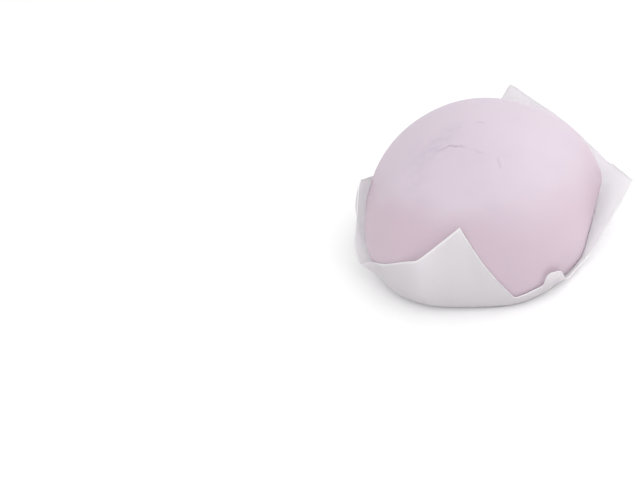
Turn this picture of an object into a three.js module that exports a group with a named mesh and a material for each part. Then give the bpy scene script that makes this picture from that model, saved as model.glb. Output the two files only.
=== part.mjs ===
// A steamed taro bun in the square of white paper it was steamed on.
// Millimetres, +Z up. The origin is the middle of the paper's flat underside, which lies on the table.
import * as THREE from "three";

const { sin, cos, asin, atan2, exp, hypot, round, PI } = Math;
const radians = THREE.MathUtils.degToRad;
const degrees = THREE.MathUtils.radToDeg;

// The bun: a dome whose lower edge rolls under to a flat foot.
const bunRadius = 46;
const bunHeight = 55;
const bellyHeight = 16; // its widest level, above the foot
const footRadius = 39.4;
const crownTaper = 0.157; // how far the dome draws in between belly and crown
const crownLean = [0.031, 0.016]; // how far the crown drifts sideways, for each millimetre of height
// What keeps the plan from a circle: waves round the bun, as a share of its radius.
const planWaves = [
  { waves: 2, share: 0.011, turn: 66 },
  { waves: 3, share: 0.004, turn: -31 },
  { waves: 4, share: 0.027, turn: 25.5 },
  { waves: 5, share: 0.017, turn: 6 },
];
// Broad places where the skin draws in: their middle, how deep, and how far they spread round and up.
const drawnIn = [
  { turn: -57, height: 3.3, depth: 3, spread: 19, rise: 10 },
  { turn: 12, height: 26, depth: 0.9, spread: 18, rise: 9 },
];
// The leaning flat that the paper's right corner presses: its distance from the axis at the belly,
// how much further out it is for each millimetre up, and how softly the skin turns into it. The cosine
// of the angle from its facing counts as no less than leastFacing, which keeps its far ends finite.
const pressedFlat = { turn: -18.7, distance: 43, lean: 0.29, ease: 0.5, leastFacing: 0.3 };

// The paper: flat under the foot, then turned up round the belly, with its four corners standing.
const paperThickness = 0.5;
const seatGap = 0.6; // between bun and paper all over
const edgeEase = 0.8; // how softly an edge that would cut into the belly is pushed out round it
const edgeStep = 4; // longest step along the cut edge
const flapSmoothing = 4.5; // over how many degrees the wall evens out what the cut edge asks of it
const buckleCrispness = 3.3; // how much less it does so at the buckle
const buckleTurn = -63;
const buckleSpread = 9;
const edgeFittings = 2; // how often the wall is corrected so that it still meets the cut edge

// The cut edge once round, anticlockwise from above: where each corner, hollow and buckle stands, and
// how late the wall below it leaves the bun (1 is a straight slant).
const cutEdge = [
  { place: "front corner", turn: -103.5, reach: 38.1, height: 36.4, late: 1.6 },
  { place: "front hollow", turn: -82.5, reach: 44.9, height: 6.9, late: 1.6 },
  { place: "front lip", turn: -73.5, reach: 45.6, height: 8.4, late: 1.6 },
  { place: "buckle, near foot", turn: -68.6, reach: 45.6, height: 8.7, late: 1.6 },
  { place: "buckle, near side", turn: -67.7, reach: 48.5, height: 13.8, late: 1.6 },
  { place: "buckle, crest", turn: -65.4, reach: 50.1, height: 16.1, late: 1.6 },
  { place: "buckle, far side", turn: -61.4, reach: 49.4, height: 14.6, late: 1.6 },
  { place: "buckle, far foot", turn: -54.8, reach: 44.6, height: 5.6, late: 2 },
  { place: "right lip", turn: -47.5, reach: 43.6, height: 5.4, late: 3 },
  { place: "right fold", turn: -37.5, reach: 44.4, height: 7, late: 3.5 },
  { place: "right corner", turn: -19.4, reach: 58.4, height: 30.2, late: 4.5 },
  { place: "back right hollow", turn: 17.3, reach: 53.3, height: 14.7, late: 3 },
  { place: "back right slope", turn: 46, reach: 53.3, height: 23.1, late: 2.5 },
  { place: "back corner", turn: 68, reach: 52.1, height: 37.5, late: 2.5 },
  { place: "back left slope", turn: 86.4, reach: 49.5, height: 13.5, late: 2 },
  { place: "back left hollow", turn: 104, reach: 49.5, height: 8.5, late: 2 },
  { place: "left back slope", turn: 140, reach: 49, height: 17.5, late: 2 },
  { place: "left corner", turn: 173, reach: 43.8, height: 34.5, late: 1.6 },
  { place: "left hollow", turn: 194, reach: 51.3, height: 10.5, late: 2 },
  { place: "left slope", turn: 236.5, reach: 47.3, height: 26.8, late: 1.6 },
];

const bunColumns = 72;
const bunRows = 22;
const wallRows = 10;
const footLevel = paperThickness + seatGap;

// How much the plan departs from a circle in one direction. The waves die out towards the crown.
function planFactor(turn, climb) {
  const fade = climb > 0 ? 1 - sin(climb) ** 4 : 1;
  const wave = ({ waves, share, turn: start }) => share * cos(waves * (turn - radians(start)));
  return planWaves.reduce((sum, item) => sum + fade * wave(item), 1);
}

// The bun's outline for a climb of -90 degrees (edge of the foot), 0 (belly) or 90 (crown).
// Below the belly it is a quarter ellipse, and above it a quarter ellipse that draws in.
function outline(climb) {
  if (climb < 0) {
    const radius = footRadius + (bunRadius - footRadius) * cos(climb);
    return { radius, height: bellyHeight * (1 + sin(climb)) };
  }
  const radius = bunRadius * cos(climb) * (1 - crownTaper * sin(climb) ** 2);
  return { radius, height: bellyHeight + (bunHeight - bellyHeight) * sin(climb) };
}

function bell(value, spread) {
  return exp(-((value / spread) ** 2));
}

// The signed angle in degrees between two turns.
function turnBetween(turn, middle) {
  return THREE.MathUtils.euclideanModulo(degrees(turn - middle) + 180, 360) - 180;
}

// The bun's reach from the middle of its section: the outline times the plan factor, less the places
// that draw in, and then cut back softly to the pressed flat.
function bunReach(turn, climb) {
  const { radius, height } = outline(climb);
  const reach = drawnIn.reduce(
    (left, { turn: middle, height: level, depth, spread, rise }) =>
      left - depth * bell(turnBetween(turn, radians(middle)), spread) * bell(height - level, rise),
    radius * planFactor(turn, climb),
  );
  const facing = Math.max(cos(turn - radians(pressedFlat.turn)), pressedFlat.leastFacing);
  const flatReach = pressedFlat.distance + pressedFlat.lean * (height - bellyHeight);
  const proud = reach * facing - flatReach;
  return reach - (proud + hypot(proud, pressedFlat.ease)) / 2 / facing;
}

function climbAt(height) {
  const rise = height - bellyHeight;
  return asin(rise / (rise < 0 ? bellyHeight : bunHeight - bellyHeight));
}

// The middle of the bun's section at a height above its foot: it drifts with the square of the height.
function sectionMiddle(height) {
  return crownLean.map((lean) => (lean * height ** 2) / bunHeight);
}

// A point a given distance outside the bun. Below the belly it stands off square to the skin,
// so that the foot keeps its distance too; above, it stands off level.
function outsideBun(turn, climb, distance) {
  const { height } = outline(climb);
  const [x, y] = sectionMiddle(height);
  const out = bunReach(turn, climb) + distance * cos(Math.min(climb, 0));
  const up = height + distance * sin(Math.min(climb, 0));
  return new THREE.Vector3(x + out * cos(turn), y + out * sin(turn), footLevel + up);
}

// A closed solid from rings of points, listed from the lowest middle point, outwards and up, to the last.
function solidOfRings(firstMiddle, rings, lastMiddle) {
  const count = rings[0].length;
  const points = [firstMiddle, ...rings.flat(), lastMiddle];
  const faces = [];
  for (let i = 0; i < count; i += 1) {
    const next = (i + 1) % count;
    faces.push(0, 1 + next, 1 + i);
    for (let row = 0; row + 1 < rings.length; row += 1) {
      const low = 1 + row * count;
      const high = low + count;
      faces.push(low + i, low + next, high + next, low + i, high + next, high + i);
    }
    const top = 1 + (rings.length - 1) * count;
    faces.push(top + i, top + next, points.length - 1);
  }
  const geometry = new THREE.BufferGeometry().setFromPoints(points);
  geometry.setIndex(faces);
  geometry.computeVertexNormals();
  return geometry;
}

function bunGeometry() {
  const rings = [];
  for (let row = 0; row < bunRows; row += 1) {
    const climb = -PI / 2 + (PI * row) / bunRows;
    rings.push(
      Array.from({ length: bunColumns }, (_, i) => outsideBun((2 * PI * i) / bunColumns, climb, 0)),
    );
  }
  const crown = outsideBun(0, PI / 2, 0);
  return solidOfRings(new THREE.Vector3(0, 0, footLevel), rings, crown);
}

// The cut edge as points: straight runs from each named place to the next. Each point says where the
// paper ends there, how far it stands off the bun, and how late it leaves it.
function edgePoints() {
  const places = cutEdge.map(({ turn, reach, height, late }) =>
    new THREE.Vector4(reach * cos(radians(turn)), reach * sin(radians(turn)), height, late));
  return places.flatMap((start, i) => {
    const end = places[(i + 1) % places.length];
    const run = hypot(end.x - start.x, end.y - start.y, end.z - start.z);
    const steps = Math.max(1, round(run / edgeStep));
    return Array.from({ length: steps }, (_, k) => edgePoint(start.clone().lerp(end, k / steps)));
  });
}

function edgePoint({ x, y, z, w: late }) {
  const [middleX, middleY] = sectionMiddle(z - footLevel);
  const turn = atan2(y - middleY, x - middleX);
  const topClimb = climbAt(z - footLevel);
  const standOff = hypot(x - middleX, y - middleY) - bunReach(turn, topClimb) - seatGap;
  const flare = (standOff + hypot(standOff, edgeEase)) / 2;
  return { turn, topClimb, late, flare, asked: flare };
}

// What one point of the cut edge asks of the wall at a climb: a power of the way up to that edge, carried
// on straight beyond it.
function askedFlare({ topClimb, late, asked }, climb) {
  const share = (climb + PI / 2) / (topClimb + PI / 2);
  return asked * (share < 1 ? share ** late : 1 + late * (share - 1));
}

// How far the wall stands off: the average of what the cut edge asks nearby, so that the flaps are smooth.
function wallFlare(edge, turn, climb) {
  const spread = flapSmoothing - buckleCrispness * bell(turnBetween(turn, radians(buckleTurn)), buckleSpread);
  const weights = edge.map((point) => bell(turnBetween(turn, point.turn), spread));
  const total = weights.reduce((sum, weight) => sum + weight, 0);
  return edge.reduce((sum, point, i) => sum + (weights[i] * askedFlare(point, climb)) / total, 0);
}

// The paper's wall: for each point of the cut edge, rows of distances outside the bun, up to that point.
function wallColumns() {
  const edge = edgePoints();
  for (let fitting = 0; fitting < edgeFittings; fitting += 1) {
    const short = edge.map(({ turn, topClimb, flare }) => flare - wallFlare(edge, turn, topClimb));
    edge.forEach((point, i) => {
      point.asked += short[i];
    });
  }
  return edge.map(({ turn, topClimb }) =>
    Array.from({ length: wallRows + 1 }, (_, row) => {
      const climb = -PI / 2 + (row / wallRows) * (topClimb + PI / 2);
      return { turn, climb, distance: seatGap + Math.max(0, wallFlare(edge, turn, climb)) };
    }));
}

function paperGeometry() {
  const columns = wallColumns();
  const rows = Array.from({ length: wallRows + 1 }, (_, row) => row);
  const ringAt = (row, extra) =>
    columns.map((column) => outsideBun(column[row].turn, column[row].climb, column[row].distance + extra));
  const outside = rows.map((row) => ringAt(row, paperThickness));
  const inside = rows.map((row) => ringAt(row, 0)).reverse();
  const underside = new THREE.Vector3(0, 0, 0);
  const topSide = new THREE.Vector3(0, 0, paperThickness);
  return solidOfRings(underside, [...outside, ...inside], topSide);
}

function piece(name, geometry, colour, roughness) {
  const material = new THREE.MeshStandardMaterial({ color: colour, roughness, metalness: 0 });
  const mesh = new THREE.Mesh(geometry, material);
  mesh.name = name;
  return mesh;
}

const steamedBun = new THREE.Group();
steamedBun.add(piece("paper", paperGeometry(), 0xf3f3f1, 0.8));
steamedBun.add(piece("bun", bunGeometry(), 0xdccbd8, 0.55));

export default steamedBun;
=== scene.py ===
import bpy
import numpy as np
from mathutils import Matrix, Vector


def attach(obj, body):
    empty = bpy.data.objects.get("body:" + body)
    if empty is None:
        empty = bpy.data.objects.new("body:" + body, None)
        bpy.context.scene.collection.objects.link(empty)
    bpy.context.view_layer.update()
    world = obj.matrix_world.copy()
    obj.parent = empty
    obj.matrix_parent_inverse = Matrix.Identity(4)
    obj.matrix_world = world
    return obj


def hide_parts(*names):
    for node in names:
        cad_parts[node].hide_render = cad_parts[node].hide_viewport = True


# A steamed taro bun in the square of white paper it was steamed on.
# The tables below are in millimetres and degrees; everything made from them is in metres.
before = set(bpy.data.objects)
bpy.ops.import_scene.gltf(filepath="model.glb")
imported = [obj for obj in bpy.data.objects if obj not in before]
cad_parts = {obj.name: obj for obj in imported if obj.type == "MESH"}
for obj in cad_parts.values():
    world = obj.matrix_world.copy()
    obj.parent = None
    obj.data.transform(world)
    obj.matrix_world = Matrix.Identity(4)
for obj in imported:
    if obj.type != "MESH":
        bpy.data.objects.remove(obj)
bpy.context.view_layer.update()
mm = 0.001
rng = np.random.default_rng(27)


def smoothStep(low, high, x):  # 0 below low, 1 above high, and an S-curve between
    share = np.clip((x - low) / (high - low), 0, 1)
    return share * share * (3 - 2 * share)


def bell(x, width):  # a hump of height 1 round x = 0
    return np.exp(-((x / width) ** 2))


def turnBetween(turn, middle):  # signed angle from a middle direction, in degrees
    return (np.degrees(turn) - middle + 180) % 360 - 180


def makeWaves(count, finest, coarsest):  # seeded plane waves: direction and pitch, phase, strength
    heading = rng.normal(size=(count, 3))
    heading /= np.linalg.norm(heading, axis=1, keepdims=True)
    pitch = np.geomspace(coarsest, finest, count)
    return heading * (2 * np.pi / pitch)[:, None], rng.uniform(0, 2 * np.pi, count), pitch / pitch.sum()


def wavy(points, waves):  # the sum of those waves at each point, roughly between -1 and 1
    heading, phase, strength = waves
    return np.sin(points @ heading.T + phase) @ strength * 1.6


def tint(red, green, blue):  # a colour on the usual 0 to 255 scale, made linear
    share = np.array([red, green, blue]) / 255
    linear = np.where(share <= 0.04045, share / 12.92, ((share + 0.055) / 1.055) ** 2.4)
    return (*linear.tolist(), 1.0)


def makePiece(name, points, faces, material, attributes):
    mesh = bpy.data.meshes.new(name)
    mesh.from_pydata((points * mm).tolist(), [], faces.tolist())
    mesh.shade_smooth()
    for label, values in attributes.items():
        mesh.attributes.new(label, "FLOAT", "POINT").data.foreach_set("value", values.astype(np.float32))
    piece = bpy.data.objects.new(name, mesh)
    bpy.context.collection.objects.link(piece)
    mesh.materials.append(material)
    return piece


def ringFaces(rows, columns):  # triangles between the rings of a grid, and the two fans that close its ends
    low = np.arange(rows - 1)[:, None] * columns
    here = np.arange(columns)[None, :]
    after = (here + 1) % columns
    corners = [1 + low + here, 1 + low + after, 1 + low + columns + after, 1 + low + columns + here]
    a, b, c, d = (corner.ravel() for corner in corners)
    last = 1 + (rows - 1) * columns
    here, after = here.ravel(), after.ravel()
    bottom = np.column_stack([np.zeros(columns, int), 1 + after, 1 + here])
    top = np.column_stack([last + here, last + after, np.full(columns, last + columns)])
    return np.concatenate([bottom, np.column_stack([a, b, c]), np.column_stack([a, c, d]), top])


class Wire:  # one socket; an expression on wires adds the Math nodes for it
    def __init__(self, bench, socket):
        self.bench, self.socket = bench, socket

    def maths(self, operation, first, second):
        return self.bench.add("ShaderNodeMath", {"operation": operation}, {0: first, 1: second})

    def __add__(self, other):
        return self.maths("ADD", self, other)

    def __sub__(self, other):
        return self.maths("SUBTRACT", self, other)

    def __mul__(self, other):
        return self.maths("MULTIPLY", self, other)

    def __rsub__(self, other):
        return self.maths("SUBTRACT", other, self)

    __radd__, __rmul__ = __add__, __mul__


class Bench:  # a material being wired; add() makes any node, settings first, then its sockets
    def __init__(self, name):
        self.material = bpy.data.materials.new(name)
        self.material.use_nodes = True
        self.tree = self.material.node_tree
        self.tree.nodes.clear()

    def add(self, kind, settings, sockets, output=0):
        node = self.tree.nodes.new(kind)
        for key, value in settings.items():
            setattr(node, key, value)
        for key, value in sockets.items():
            if isinstance(value, Wire):
                self.tree.links.new(value.socket, node.inputs[key])
            else:
                node.inputs[key].default_value = value
        return Wire(self, node.outputs[output]) if node.outputs else None

    def place(self):
        return self.add("ShaderNodeTexCoord", {}, {}, "Object")

    def mark(self, label):
        return self.add("ShaderNodeAttribute", {"attribute_name": label}, {}, "Fac")

    def noise(self, size, detail, stretch=(1, 1, 1)):  # cloudy pattern with lumps of this size in mm
        moved = self.add("ShaderNodeMapping", {}, {"Vector": self.place(), "Scale": stretch})
        sockets = {"Vector": moved, "Scale": 1 / (size * mm), "Detail": detail}
        return self.add("ShaderNodeTexNoise", {}, sockets)

    def ramp(self, value, low, high):  # value stretched so that low gives 0 and high gives 1
        settings = {"interpolation_type": "SMOOTHSTEP"}
        return self.add("ShaderNodeMapRange", settings, {"Value": value, "From Min": low, "From Max": high})

    def blend(self, share, first, second):
        return self.add("ShaderNodeMix", {"data_type": "RGBA"}, {0: share, 6: first, 7: second}, 2)

    def bump(self, height, depth):
        return self.add("ShaderNodeBump", {}, {"Height": height, "Distance": depth * mm, "Strength": 1.0})

    def finish(self, surface):
        self.add("ShaderNodeOutputMaterial", {}, {"Surface": surface})
        return self.material


cameraValues = {
    "lens": 80,
    "sensor": 36,
    "elevation": 38,
    "roll": 10,  # the picture's contents turn this far anticlockwise
    "distance": 549,
    "bunAcross": 0.263,  # how far right of the frame's middle the bun's foot stands, as a share of its width
}


def placeCamera(values):
    data = bpy.data.cameras.new("studioCamera")
    data.lens, data.sensor_width = values["lens"], values["sensor"]
    camera = bpy.data.objects.new("studioCamera", data)
    bpy.context.collection.objects.link(camera)
    down, roll = np.radians(values["elevation"]), np.radians(values["roll"])
    ahead = Vector((0, np.cos(down), -np.sin(down)))
    side = Vector((1, 0, 0))
    rise = side.cross(ahead)
    rolledSide = np.cos(roll) * side - np.sin(roll) * rise
    rolledRise = np.sin(roll) * side + np.cos(roll) * rise
    rolled = Matrix((rolledSide, rolledRise, ahead))
    foot = Vector((values["bunAcross"] * values["sensor"] / values["lens"], 0, 1))
    aside = Vector((0, 0, 1)).rotation_difference(foot).to_matrix()
    axes = aside @ rolled
    away = axes.transposed() @ (foot * values["distance"] * mm)
    facing = Matrix((axes[0], axes[1], -axes[2])).transposed().to_4x4()
    camera.matrix_world = Matrix.Translation(-away) @ facing
    bpy.context.scene.camera = camera


placeCamera(cameraValues)
print("camera placed")


studioValues = {
    "skyStrength": 0.955,
    "skyColour": (1.0, 1.0, 1.0, 1),
    "key": {"place": (160, -300, 500), "size": 460, "power": 0.95},
    "side": {"place": (430, 100, 250), "size": 400, "power": 0.5},
    "floorColour": tint(252, 252, 252),
    "floorRoughness": 0.9,
    "floorSize": 6000,
}


def softLight(name, values):  # a square panel that faces the bun
    data = bpy.data.lights.new(name, "AREA")
    data.size, data.energy = values["size"] * mm, values["power"]
    light = bpy.data.objects.new(name, data)
    light.location = Vector(values["place"]) * mm
    light.rotation_mode = "QUATERNION"
    light.rotation_quaternion = (-light.location).to_track_quat("-Z", "Y")
    bpy.context.collection.objects.link(light)


def lightStudio(values):
    world = bpy.data.worlds.new("studioSky")
    world.use_nodes = True
    sky = world.node_tree.nodes["Background"]
    sky.inputs["Color"].default_value = values["skyColour"]
    sky.inputs["Strength"].default_value = values["skyStrength"]
    bpy.context.scene.world = world
    bpy.context.scene.view_settings.view_transform = "Standard"
    softLight("keyPanel", values["key"])
    softLight("sidePanel", values["side"])
    bench = Bench("paleFloor")
    sockets = {"Base Color": values["floorColour"], "Roughness": values["floorRoughness"]}
    surface = bench.add("ShaderNodeBsdfPrincipled", {}, sockets)
    half = values["floorSize"] / 2
    corners = np.array([[-half, -half, 0], [half, -half, 0], [half, half, 0], [-half, half, 0]])
    floor = makePiece("paleFloor", corners, np.array([[0, 1, 2], [0, 2, 3]]), bench.finish(surface), {})


lightStudio(studioValues)
print("studio lit")


bunValues = {
    "radius": 46,
    "height": 55,
    "bellyHeight": 16,  # its widest level, above the foot
    "footRadius": 39.4,
    "crownTaper": 0.157,  # how far the dome draws in between belly and crown
    "crownLean": (0.031, 0.016),  # how far the crown drifts sideways, for each millimetre of height
    # What keeps the plan from a circle: how many waves go round, share of the radius, and where one starts.
    "planWaves": [(2, 0.011, 66), (3, 0.004, -31), (4, 0.027, 25.5), (5, 0.017, 6)],
    "footLevel": 1.1,
    # How far the soft foot settles down and out towards the paper, and the climbs over which that dies out.
    "foot": {"spread": 0.8, "from": -89.95, "until": -28.65},
    # Gentle unevenness of the whole skin, and the climbs over which it comes in above the flat foot.
    "swell": {"depth": 0.24, "from": -85.94, "until": -34.38},
    # The leaning flat that the paper's right corner presses: its distance from the axis at the belly, how
    # much further out it is for each millimetre up, and how softly the skin turns into it. The cosine of the
    # angle from its facing counts as no less than leastFacing, which keeps its far ends finite.
    "pressed": {"turn": -18.7, "distance": 43, "lean": 0.29, "ease": 0.5, "leastFacing": 0.3},
    # Broad places where the skin draws in: their middle, how deep, and how far they spread round and up.
    "drawnIn": [
        {"turn": -57, "height": 3.3, "depth": 3.0, "spread": 19, "rise": 10},
        {"turn": 12, "height": 26, "depth": 0.9, "spread": 18, "rise": 9},
    ],
    "columns": 420,
    "rows": 228,
    # Fine creases in the skin of the crown, cut in and darkened with painted shade, in plan: both ends, how
    # far it bows, how deep and how wide.
    "creases": [
        {"start": (-12.4, -10.2), "end": (-2.0, -13.2), "bow": 0.5, "depth": 0.26, "width": 0.3},
        {"start": (-0.4, -14.6), "end": (4.6, -17.8), "bow": 0.3, "depth": 0.1, "width": 0.32},
        {"start": (8.9, -19.8), "end": (8.8, -23.4), "bow": -0.2, "depth": 0.14, "width": 0.3},
        {"start": (3.1, -2.9), "end": (6.5, -3.2), "bow": 0.2, "depth": 0.12, "width": 0.35},
        {"start": (-4.2, -3.1), "end": (-2.0, -3.6), "bow": 0.1, "depth": 0.08, "width": 0.35},
    ],
    "creaseWander": 0.5,  # how far a crease strays from its smooth line
    "fullShade": 0.26,  # the depth at which a crease has all its painted shade
    "crownFrom": (30, 38),  # the heights over which creases, dents and the bruises with their painted fold shade come in
    "outward": (10, 45),  # the height up to which outward is level, and how much higher it is upright
    # Violet bruises of the taro in the skin, which also paint shade along the dents and folds they lie over:
    # middle in plan, how far they reach, and how strong.
    "bruisesAndFoldShade": [
        {"middle": (-10, -6), "heading": 35, "long": 7, "across": 3.4, "depth": 0.95},
        {"middle": (-18, -10), "heading": 28, "long": 8, "across": 3.5, "depth": 0.6},
        {"middle": (-23, -19.2), "heading": 8, "long": 8, "across": 3.2, "depth": 0.35},
        {"middle": (10, 18), "heading": 160, "long": 10, "across": 5, "depth": 0.5},
        {"middle": (28, -22), "heading": 50, "long": 10, "across": 5, "depth": 0.12},
    ],
    # The level below which the skin takes the darker, pinker belly colour as painted shade, and above which
    # the lighter colour stands for the lit crown: highest at the front left, lower and softer towards the
    # right.
    "paintedShadeUpTo": {
        "level": 25,
        "higher": 9,
        "turn": -135,
        "spread": 55,
        "stray": 2,
        "softness": 20,
        "sharper": 9,
    },
    # How far the skin stands out there and falls in below it, and the climbs of that hump and hollow.
    "shoulder": {
        "depth": 0.5,
        "turn": -128,
        "spread": 32,
        "humpClimb": 41,
        "humpWidth": 9,
        "hollowClimb": 20,
        "hollowWidth": 10,
    },
    # Shallow dents: middle in plan, direction of the long way, half length, half width and depth.
    "dents": [
        {"middle": (-22.5, -19.5), "heading": 5, "long": 7, "across": 2.2, "depth": 0.6},
        {"middle": (-9.0, -7.0), "heading": 200, "long": 6, "across": 3.5, "depth": 0.3},
        {"middle": (-19, -12.5), "heading": 26, "long": 8, "across": 2.4, "depth": 0.5},
        {"middle": (9.5, -26.5), "heading": 75, "long": 7, "across": 3, "depth": 0.25},
    ],
}
swellWaves = makeWaves(9, 0.45, 1.9)
strayWaves = makeWaves(5, 2.2, 7)
paintedShadeWaves = makeWaves(5, 9, 30)


def planFactor(turn, climb):  # 1 plus each wave's cosine; the waves die out towards the crown
    fade = np.where(climb > 0, 1 - np.sin(climb) ** 4, 1.0)
    waves = 0
    for count, share, start in bunValues["planWaves"]:
        waves = waves + share * np.cos(count * (turn - np.radians(start)))
    return 1 + fade * waves


def outline(climb):  # quarter ellipse from foot to belly, and one that draws in from belly to crown
    radius, belly, foot = bunValues["radius"], bunValues["bellyHeight"], bunValues["footRadius"]
    low = climb < 0
    rise = np.sin(climb)
    out = np.where(low, foot + (radius - foot) * np.cos(climb),
                   radius * np.cos(climb) * (1 - bunValues["crownTaper"] * rise ** 2))
    return out, belly + np.where(low, belly, bunValues["height"] - belly) * rise


def climbAt(height):  # the climb at which the outline passes a height
    rise = height - bunValues["bellyHeight"]
    span = np.where(rise < 0, bunValues["bellyHeight"], bunValues["height"] - bunValues["bellyHeight"])
    return np.arcsin(rise / span)


def sectionMiddle(height):  # the section's middle drifts with the square of the height
    drift = height ** 2 / bunValues["height"]
    return bunValues["crownLean"][0] * drift, bunValues["crownLean"][1] * drift


def bunReach(turn, climb):
    # The outline's radius times the plan factor, less the broad places that draw in, and then cut back softly
    # to the pressed flat: what stands proud of that flat is taken off.
    radius, height = outline(climb)
    reach = radius * planFactor(turn, climb)
    for place in bunValues["drawnIn"]:
        near = bell(turnBetween(turn, place["turn"]), place["spread"])
        near = near * bell(height - place["height"], place["rise"])
        reach = reach - place["depth"] * near
    pressed = bunValues["pressed"]
    facing = np.maximum(np.cos(turn - np.radians(pressed["turn"])), pressed["leastFacing"])
    proud = reach * facing - pressed["distance"] - pressed["lean"] * (height - bunValues["bellyHeight"])
    return reach - (proud + np.hypot(proud, pressed["ease"])) / 2 / facing


def skinSwell(turn, climb):
    # Seeded unevenness of the skin, the shoulder at the front left (a hump above a hollow), and the soft foot
    # settling towards the paper.
    direction = np.stack([np.cos(climb) * np.cos(turn), np.cos(climb) * np.sin(turn), np.sin(climb)], axis=-1)
    swell, foot, shoulder = bunValues["swell"], bunValues["foot"], bunValues["shoulder"]
    climb = np.degrees(climb)
    uneven = swell["depth"] * wavy(direction, swellWaves) * smoothStep(swell["from"], swell["until"], climb)
    hump = bell(climb - shoulder["humpClimb"], shoulder["humpWidth"])
    hump = hump - bell(climb - shoulder["hollowClimb"], shoulder["hollowWidth"])
    hump = hump * bell(turnBetween(turn, shoulder["turn"]), shoulder["spread"])
    settled = 1 - smoothStep(foot["from"], foot["until"], climb)
    return uneven + shoulder["depth"] * hump + foot["spread"] * settled


def outsideBun(turn, climb, distance):
    # A point that far outside the skin: square to it below the belly, and level above.
    turn, climb, distance = np.broadcast_arrays(turn, climb, distance)
    height, skin = outline(climb)[1], skinSwell(turn, climb)
    middleX, middleY = sectionMiddle(height)
    under = np.minimum(climb, 0)
    out = bunReach(turn, climb) + skin * np.cos(climb) + distance * np.cos(under)
    up = height + skin * np.sin(climb) + distance * np.sin(under)
    up = up + bunValues["footLevel"]
    return np.stack([middleX + out * np.cos(turn), middleY + out * np.sin(turn), up], axis=-1)


def creaseAt(plan, crease):  # closeness to a bowed line, strongest just past its middle
    start, end = np.array(crease["start"]), np.array(crease["end"])
    along = end - start
    share = np.clip((plan - start) @ along / (along @ along), 0, 1)
    normal = np.array([-along[1], along[0]]) / np.linalg.norm(along)
    nearest = start + share[..., None] * along + (crease["bow"] * 4 * share * (1 - share))[..., None] * normal
    strength = 0.35 + 0.65 * np.sin(np.pi * share ** 1.3)
    return strength * bell(np.linalg.norm(plan - nearest, axis=-1), crease["width"])


def dentAt(plan, dent):  # an oval hollow
    heading = np.radians(dent["heading"])
    gap = plan - np.array(dent["middle"])
    along = gap @ np.array([np.cos(heading), np.sin(heading)])
    across = gap @ np.array([-np.sin(heading), np.cos(heading)])
    return bell(along, dent["long"]) * bell(across, dent["across"])


def makeBun():
    columns, rows = bunValues["columns"], bunValues["rows"]
    turn = np.arange(columns)[None, :] * 2 * np.pi / columns
    climb = -np.pi / 2 + np.pi * np.arange(rows)[:, None] / rows
    grid = outsideBun(turn, climb, 0.0)
    crown = outsideBun(0.0, np.pi / 2, 0.0)
    foot = np.array([0, 0, grid[0, 0, 2]])
    points = np.concatenate([foot[None], grid.reshape(-1, 3), crown[None]])
    plan, upper = points[:, :2], smoothStep(*bunValues["crownFrom"], points[:, 2])
    stray = np.stack([wavy(points, strayWaves), wavy(points[:, ::-1], strayWaves)], axis=1)
    strayed = plan + bunValues["creaseWander"] * stray
    groove = sum(crease["depth"] * creaseAt(strayed, crease) for crease in bunValues["creases"])
    hollow = sum(dent["depth"] * dentAt(plan, dent) for dent in bunValues["dents"])
    levelUpTo, rise = bunValues["outward"]
    upright = np.clip((points[:, 2:3] - levelUpTo) / rise, 0, 1)
    outward = np.concatenate([plan * np.sqrt(1 - upright ** 2) / bunValues["radius"], upright], axis=1)
    points = points - outward * ((groove + hollow) * upper)[:, None]
    # partly the taro's violet, partly painted shade along the dents and folds these marks lie over
    bruiseAndFoldShade = sum(mark["depth"] * dentAt(plan, mark) for mark in bunValues["bruisesAndFoldShade"])
    # Painted light and shade: the skin is coloured lighter above a level and darker and pinker below it.
    shadeUpTo = bunValues["paintedShadeUpTo"]
    left = bell(turnBetween(np.arctan2(plan[:, 1], plan[:, 0]), shadeUpTo["turn"]), shadeUpTo["spread"])
    level = shadeUpTo["level"] + shadeUpTo["higher"] * left + shadeUpTo["stray"] * wavy(points, paintedShadeWaves)
    paintedLight = smoothStep(level, level + shadeUpTo["softness"] - shadeUpTo["sharper"] * left, points[:, 2])
    # painted shade: the creases are darkened in colour as well as cut in
    shade = groove * upper / bunValues["fullShade"]
    marks = {"creaseShade": shade, "bruiseAndFoldShade": bruiseAndFoldShade * upper, "paintedLight": paintedLight}
    return points, ringFaces(rows, columns), {label: np.clip(mark, 0, 1) for label, mark in marks.items()}


skinValues = {
    # The lighter crown colour and the darker, pinker belly colour paint the light on the top and the shade on
    # the lower skin.
    "litCrownColour": tint(203, 191, 202),
    "shadedBellyColour": tint(196, 178, 189),
    "violetAndShadeColour": tint(178, 162, 188),
    "creaseShadeColour": tint(150, 122, 150),
    "cloud": 0.1,  # how strongly broad violet clouds, bruises with their painted fold shade, fine flecks and the painted shade of the creases colour the skin
    "bruiseAndFoldShade": 0.36,
    "fleck": 0.1,
    "crease": 0.6,
    "roughness": 0.5,
    "poreDepth": 0.06,
    "softness": 0.35,  # share of the light that goes into the dough, and how far it comes out again
    "softReach": 4,
}


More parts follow.
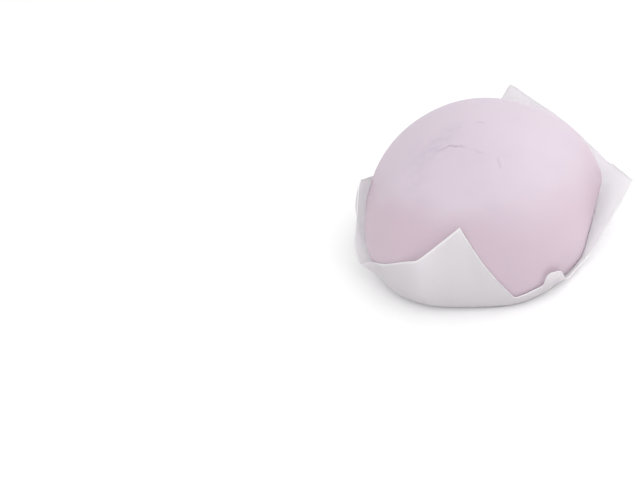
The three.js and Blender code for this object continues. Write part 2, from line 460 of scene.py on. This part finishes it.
def skinMaterial(values):
    bench = Bench("bunSkin")
    # painted light and shade: lighter colour on the top, darker and pinker below
    colour = bench.blend(bench.mark("paintedLight"), values["shadedBellyColour"], values["litCrownColour"])
    cloud = bench.ramp(bench.noise(14, 3), 0.42, 0.75)
    colour = bench.blend(cloud * values["cloud"], colour, values["violetAndShadeColour"])
    mottle = bench.ramp(bench.noise(2.6, 4), 0.2, 0.78)
    # bruises: partly the taro's violet, partly painted shade in the folds
    colour = bench.blend(bench.mark("bruiseAndFoldShade") * mottle * values["bruiseAndFoldShade"], colour, values["violetAndShadeColour"])
    fleck = bench.ramp(bench.noise(1.1, 2), 0.66, 0.8)
    colour = bench.blend(fleck * values["fleck"], colour, values["violetAndShadeColour"])
    # painted shade: the creases are darkened towards a deep violet
    colour = bench.blend(bench.mark("creaseShade") * values["crease"], colour, values["creaseShadeColour"])
    pores = bench.noise(0.7, 3) * 0.6 + bench.noise(3.5, 2) * 0.9
    sockets = {
        "Base Color": colour,
        "Roughness": values["roughness"] + bench.noise(5, 2) * 0.1,
        "Subsurface Weight": values["softness"],
        "Subsurface Radius": (1.0, 0.72, 0.8),
        "Subsurface Scale": values["softReach"] * mm,
        "Specular IOR Level": 0.35,
        "Normal": bench.bump(pores, values["poreDepth"]),
    }
    return bench.finish(bench.add("ShaderNodeBsdfPrincipled", {}, sockets))


points, faces, attributes = makeBun()
bunSkin = makePiece("bunSkin", points, faces, skinMaterial(skinValues), attributes)
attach(bunSkin, "root")
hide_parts("bun")
print("bun made:", len(faces), "triangles")


paperValues = {
    "thickness": 0.12,
    "rimThickness": 0.3,  # how much thicker the cut edge is, so that it catches the light
    "rimWidth": 0.7,  # how far below the cut edge that has died out
    "seatGap": 0.18,  # between skin and paper where they lie together
    "edgeEase": 0.8,  # how softly an edge that would cut into the belly is pushed out round it
    "columns": 700,
    "rows": 66,
    # Gentle waviness of the standing parts, and the distances from the skin over which it comes in.
    "ripple": {"depth": 0.3, "from": 0.5, "until": 3},
    "askEvery": 6,  # every so many columns of the cut edge have a say in how the wall stands
    "flapSmoothing": 4.5,  # over how many degrees they are averaged
    "buckle": {"crispness": 3.3, "turn": -63, "spread": 9},  # how many degrees less that is at the buckle
    "edgeFitting": 2,  # how often the wall is corrected so that it still meets the cut edge
    "bendReach": 5.0,  # how far along the edge a place says how softly it bends
    "bendTrace": 1e-4,  # what every place says everywhere, so that no stretch goes without
    # The cut edge once round, anticlockwise from above. Each place: turn, reach from the middle, height,
    # how softly the edge bends there, and how late the wall below it leaves the bun.
    "cutEdge": {
        "front corner": (-103.5, 38.1, 36.4, 0.3, 1.6),
        "front hollow": (-82.5, 44.9, 6.9, 0.7, 1.6),
        "front lip": (-73.5, 45.6, 8.4, 1.5, 1.6),
        "buckle, near foot": (-68.9, 45.6, 8.9, 0.6, 1.6),
        "buckle, near side": (-68.2, 48.3, 14.2, 0.6, 1.6),
        "buckle, crest": (-66.3, 49.9, 16.3, 0.8, 1.6),
        "buckle, far side": (-61.4, 49.4, 14.6, 0.9, 1.6),
        "buckle, far foot": (-54.8, 44.6, 5.6, 0.8, 2),
        "right lip": (-47.5, 43.6, 5.4, 2, 3),
        "right fold": (-37.5, 44.4, 7.0, 2, 3.5),
        "right corner": (-19.4, 58.4, 30.2, 0.3, 4.5),
        "back right hollow": (17.3, 53.3, 14.7, 5, 3),
        "back right slope": (46, 53.3, 23.1, 2, 2.5),
        "back corner": (68, 52.1, 37.5, 0.3, 2.5),
        "back left slope": (86.4, 49.5, 13.5, 2, 2),
        "back left hollow": (104, 49.5, 8.5, 3, 2),
        "left back slope": (140, 49, 17.5, 3, 2),
        "left corner": (173, 43.8, 34.5, 0.3, 1.6),
        "left hollow": (194, 52.2, 10.5, 3.5, 2),
        "left slope": (236.5, 47.3, 26.8, 0.6, 1.6),
    },
}
rippleWaves = makeWaves(6, 11, 34)


def cutEdge(values):
    # Straight runs between the places, walked at an even step and then averaged over a short stretch of
    # the walk, longer where the edge bends softly.
    turn, reach, height, soft, late = np.array(list(values["cutEdge"].values()), float).T
    places = np.column_stack([reach * np.cos(np.radians(turn)), reach * np.sin(np.radians(turn)), height])
    closed = np.concatenate([places, places[:1]])
    walked = np.concatenate([[0], np.cumsum(np.linalg.norm(np.diff(closed, axis=0), axis=1))])
    walk = np.arange(values["columns"]) * walked[-1] / values["columns"]
    straight = np.column_stack([np.interp(walk, walked, closed[:, axis]) for axis in range(3)])
    gap = np.abs(walk[:, None] - walked[None, :-1])
    gap = np.minimum(gap, walked[-1] - gap)
    near = bell(gap, values["bendReach"]) + values["bendTrace"]
    width = (near * soft).sum(axis=1) / near.sum(axis=1)
    apart = np.abs(walk[:, None] - walk[None, :])
    apart = np.minimum(apart, walked[-1] - apart)
    weight = bell(apart, width[:, None])
    points = (weight @ straight) / weight.sum(axis=1, keepdims=True)
    return points, np.interp(walk, walked, np.append(late, late[0]))


def standOffGrowth(share, late):  # a power of the way up to the cut edge, carried on straight beyond it
    return np.where(share < 1, np.minimum(share, 1) ** late, 1 + late * (share - 1))


def makePaper(values):
    edge, late = cutEdge(values)
    height = edge[:, 2] - bunValues["footLevel"]
    middleX, middleY = sectionMiddle(height)
    across, away = edge[:, 0] - middleX, edge[:, 1] - middleY
    turn, topClimb = np.arctan2(away, across), climbAt(height)
    skin = bunReach(turn, topClimb) + skinSwell(turn, topClimb) * np.cos(topClimb)
    standOff = np.hypot(across, away) - skin - values["seatGap"]
    flare = (standOff + np.hypot(standOff, values["edgeEase"])) / 2
    climb = np.linspace(0, 1, values["rows"] + 1)[:, None] * (topClimb + np.pi / 2) - np.pi / 2
    # How far the paper stands off at one point: what every part of the cut edge nearby asks for there,
    # weighed by how near it is in turn, so that the flaps are smooth between their edges.
    step = values["askEvery"]
    askTurn, askTop, askFlare, askLate = turn[::step], topClimb[::step], flare[::step], late[::step]
    gap = turnBetween(turn[:, None] - askTurn[None, :], 0)
    buckle = values["buckle"]
    atBuckle = bell(turnBetween(turn, buckle["turn"]), buckle["spread"])
    spread = values["flapSmoothing"] - buckle["crispness"] * atBuckle
    weight = bell(gap, spread[:, None])
    weight /= weight.sum(axis=1, keepdims=True)
    top = standOffGrowth((topClimb[:, None] + np.pi / 2) / (askTop + np.pi / 2), askLate)
    for _ in range(values["edgeFitting"]):  # ask for more where the average falls short of the cut edge
        askFlare = askFlare + (flare - (weight * askFlare * top).sum(axis=1))[::step]
    share = (climb[:, :, None] + np.pi / 2) / (askTop + np.pi / 2)
    distance = values["seatGap"] + (weight * askFlare * standOffGrowth(share, askLate)).sum(axis=2)
    base = outsideBun(turn, climb, distance)
    ripple = values["ripple"]
    standing = smoothStep(ripple["from"], ripple["until"], distance)
    distance = distance + ripple["depth"] * wavy(base, rippleWaves) * standing
    rim = bell((topClimb - climb) * bunValues["radius"], values["rimWidth"])
    outside = outsideBun(turn, climb, distance + values["thickness"] + values["rimThickness"] * rim)
    inside = outsideBun(turn, climb, distance)[::-1]
    floorLevel = outside[0, 0, 2]
    rings = np.concatenate([outside, inside])
    ends = np.array([[0, 0, floorLevel], [0, 0, floorLevel + values["thickness"]]])
    points = np.concatenate([ends[:1], rings.reshape(-1, 3), ends[1:]])
    # the rim mark also whitens the cut edge in the material, as a painted highlight
    marks = {"rim": np.concatenate([[0], rim.ravel(), rim[::-1].ravel(), [0]])}
    return points, ringFaces(len(rings), values["columns"]), marks


sheetValues = {
    "colour": tint(244, 243, 244),
    # painted highlight: the cut edge is coloured whiter than the rest of the sheet
    "rimHighlightColour": tint(253, 253, 253),
    "glowColour": tint(250, 250, 251),
    "glow": 0.63,  # share of the light that comes through
    "rimLoss": 0.3,  # how much less of it the thicker cut edge lets through
    "roughness": 0.75,
    "reliefDepth": 0.09,
}


def sheetMaterial(values):
    bench = Bench("whitePaper")
    fibre = bench.noise(0.6, 3, (1, 1, 2.2)) * 0.5 + bench.noise(9, 2) * 1.5
    relief = bench.bump(fibre, values["reliefDepth"])
    rim = bench.mark("rim")
    sockets = {
        # painted highlight: whiter colour towards the cut edge
        "Base Color": bench.blend(rim, values["colour"], values["rimHighlightColour"]),
        "Roughness": values["roughness"],
        "Specular IOR Level": 0.3,
        "Normal": relief,
    }
    white = bench.add("ShaderNodeBsdfPrincipled", {}, sockets)
    through = bench.add("ShaderNodeBsdfTranslucent", {}, {"Color": values["glowColour"], "Normal": relief})
    share = values["glow"] - rim * values["rimLoss"]
    return bench.finish(bench.add("ShaderNodeMixShader", {}, {0: share, 1: white, 2: through}))


points, faces, attributes = makePaper(paperValues)
paperSheet = makePiece("paperSheet", points, faces, sheetMaterial(sheetValues), attributes)
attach(paperSheet, "root")
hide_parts("paper")
print("paper made:", len(faces), "triangles")
